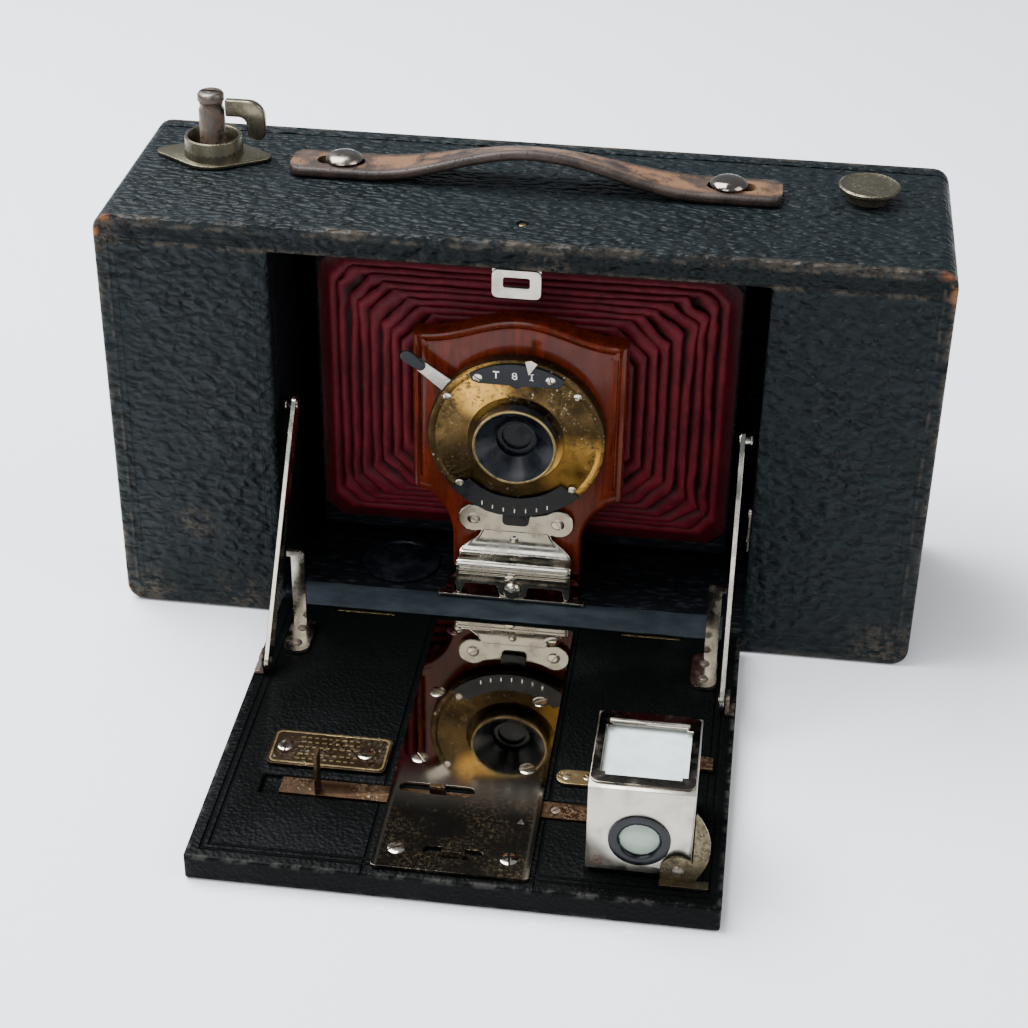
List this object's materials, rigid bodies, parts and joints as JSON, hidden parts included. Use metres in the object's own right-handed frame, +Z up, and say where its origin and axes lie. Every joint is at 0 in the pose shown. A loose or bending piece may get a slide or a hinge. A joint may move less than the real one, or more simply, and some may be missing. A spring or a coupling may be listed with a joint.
{
  "type": "folding roll-film camera",
  "caption": "Horizontal folding camera: leather-covered wooden case, drop bed with struts and rails, sliding lens standard, bellows, swivel finder, roll-film back.",
  "frame": {"origin": "centre of the case's underside, on the surface it stands on", "axes": "+X to the right seen from the front, +Y from the front to the back, +Z up"},
  "size_m": [0.216, 0.1754, 0.136],
  "materials": {
    "leather": "pebbled black leatherette over wood, worn at the edges",
    "black_wood": "black lacquered wood under fine-grained leather",
    "mahogany": "polished mahogany",
    "bellows_leather": "maroon folded leather",
    "strap_leather": "dark brown strap leather, dry and worn",
    "nickel": "polished nickel plate, lightly tarnished",
    "brass": "aged brass",
    "black_enamel": "black enamel on brass",
    "steel": "dull steel, partly rusted",
    "glass": "clear polished glass",
    "ground_glass": "ground on one side",
    "mirror": "silvered",
    "spool_wood": "plain turned wood",
    "ruby_glass": "dark red",
    "bush_black": "blackened brass"
  },
  "bodies": {
    "case": {"case_top_board": "leather", "case_bottom_board": "leather", "case_end_left": "leather", "case_end_right": "leather", "front_panel_left": "leather", "front_panel_right": "leather", "chamber_wall_left": "black_wood", "chamber_wall_right": "black_wood", "film_gate": "black_wood", "bellows_frame": "black_wood", "bellows": "bellows_leather", "inner_track": "nickel", "tripod_socket": "bush_black", "key_collar": "brass", "carry_handle": "strap_leather", "handle_stud_left": "steel", "handle_stud_right": "steel", "hinge_plate": "brass", "hinge_cover": "leather"},
    "bed": {"bed_board": "black_wood", "track_plate": "nickel", "bed_hinge_left": "brass", "bed_hinge_right": "brass", "strut_guide_left": "nickel", "strut_guide_right": "nickel", "strut_lug_left": "steel", "strut_lug_right": "steel", "focus_scale": "brass", "finder_bracket": "brass"},
    "standard": {"lens_board": "mahogany", "standard_foot": "nickel", "shutter_case": "brass", "lens_hood": "black_enamel", "lens_glass": "glass", "dial_plate_top": "black_enamel", "dial_plate_bottom": "black_enamel"},
    "foot_knob": {"foot_knob": "nickel"},
    "release_lever": {"release_lever": "nickel"},
    "shutter_blade": {"shutter_blade": "steel"},
    "mode_pointer": {"mode_pointer": "nickel"},
    "aperture_wheel": {"aperture_wheel": "black_enamel"},
    "focus_bar": {"focus_bar": "brass"},
    "finder": {"finder_body": "nickel", "finder_lens": "black_enamel", "finder_glass": "ground_glass", "finder_mirror": "mirror"},
    "strut_left": {"strut_left": "nickel"},
    "strut_right": {"strut_right": "nickel"},
    "back": {"back_cover": "leather", "red_window": "ruby_glass"},
    "back_catch": {"back_catch": "brass"},
    "release_pin": {"release_pin": "brass"},
    "catch_bail": {"catch_bail": "nickel"},
    "winding_key": {"winding_key": "steel", "key_wing": "brass", "takeup_spool": "spool_wood"},
    "supply_spool": {"supply_spool": "spool_wood"},
    "spool_knob": {"spool_knob": "nickel"},
    "film_roller_left": {"film_roller_left": "steel"},
    "film_roller_right": {"film_roller_right": "steel"}
  },
  "joints": [
    {"name": "bed_fold", "type": "hinge", "parent": "case", "child": "bed", "pos_m": [0, -0.03355, 0.0066], "axis": [-1, 0, 0], "range_deg": [0, 90], "deforming": ["hinge_cover"]},
    {"name": "strut_left_swing", "type": "hinge", "parent": "bed", "child": "strut_left", "pos_m": [-0.0592, -0.06775, 0.0105], "axis": [-1, 0, 0], "range_deg": [-90, 0]},
    {"name": "strut_right_swing", "type": "hinge", "parent": "bed", "child": "strut_right", "pos_m": [0.0592, -0.06775, 0.0105], "axis": [-1, 0, 0], "range_deg": [-90, 0]},
    {"name": "standard_slide", "type": "slide", "parent": "case", "child": "standard", "axis": [0, 1, 0], "range_m": [-0.078, 0], "deforming": ["bellows"]},
    {"name": "foot_knob_turn", "type": "hinge", "parent": "standard", "child": "foot_knob", "pos_m": [0, -0.02975, 0.012], "axis": [0, 1, 0], "range_deg": [-180, 0]},
    {"name": "release_lever_swing", "type": "hinge", "parent": "standard", "child": "release_lever", "pos_m": [-0.013, -0.02475, 0.068], "axis": [0, 1, 0], "range_deg": [-12, 0], "stiffness_Nm_per_rad": 0.0005},
    {"name": "shutter_blade_swing", "type": "hinge", "parent": "standard", "child": "shutter_blade", "pos_m": [0.014, -0.02285, 0.066], "axis": [0, 1, 0], "range_deg": [-50, 0]},
    {"name": "mode_pointer_turn", "type": "hinge", "parent": "standard", "child": "mode_pointer", "pos_m": [0, -0.02745, 0.058], "axis": [0, 1, 0], "range_deg": [-18, 0]},
    {"name": "aperture_wheel_turn", "type": "hinge", "parent": "standard", "child": "aperture_wheel", "pos_m": [0, -0.02385, 0.058], "axis": [0, 1, 0], "range_deg": [-12, 12]},
    {"name": "focus_slide", "type": "slide", "parent": "bed", "child": "focus_bar", "axis": [1, 0, 0], "range_m": [-0.004, 0.004]},
    {"name": "finder_swivel", "type": "hinge", "parent": "bed", "child": "finder", "pos_m": [0.0523, -0.13295, 0.011], "axis": [0, -1, 0], "range_deg": [-90, 0]},
    {"name": "back_open", "type": "hinge", "parent": "case", "child": "back", "pos_m": [0, 0.03175, 0], "axis": [1, 0, 0], "range_deg": [-88, 0]},
    {"name": "back_catch_slide", "type": "slide", "parent": "back", "child": "back_catch", "axis": [0, 0, -1], "range_m": [-0.004, 0]},
    {"name": "release_press", "type": "slide", "parent": "case", "child": "release_pin", "axis": [0, 0, 1], "range_m": [-0.0012, 0], "stiffness_N_per_m": 150},
    {"name": "catch_bail_swing", "type": "hinge", "parent": "case", "child": "catch_bail", "pos_m": [0, -0.00975, 0.1092], "axis": [1, 0, 0], "range_deg": [0, 8.6]},
    {"name": "winding_key_turn", "type": "hinge", "parent": "case", "child": "winding_key", "pos_m": [-0.086, 0.00825, 0.1175], "axis": [0, 0, 1], "continuous": true},
    {"name": "supply_spool_turn", "type": "hinge", "parent": "case", "child": "supply_spool", "pos_m": [0.086, 0.00825, 0.058], "axis": [0, 0, 1], "continuous": true},
    {"name": "spool_knob_pull", "type": "slide", "parent": "case", "child": "spool_knob", "axis": [0, 0, 1], "range_m": [0, 0.006]},
    {"name": "film_roller_left_turn", "type": "hinge", "parent": "case", "child": "film_roller_left", "pos_m": [-0.0722, 0.02085, 0.058], "axis": [0, 0, 1], "continuous": true},
    {"name": "film_roller_right_turn", "type": "hinge", "parent": "case", "child": "film_roller_right", "pos_m": [0.0722, 0.02085, 0.058], "axis": [0, 0, 1], "continuous": true}
  ],
  "couplings": [
    {"joint": "strut_left_swing", "follows": "bed_fold", "ratio": -1},
    {"joint": "strut_right_swing", "follows": "bed_fold", "ratio": -1},
    {"joint": "shutter_blade_swing", "follows": "release_lever_swing", "ratio": 4.1666},
    {"joint": "catch_bail_swing", "follows": "release_press", "rad_per_m": -123.63}
  ]
}
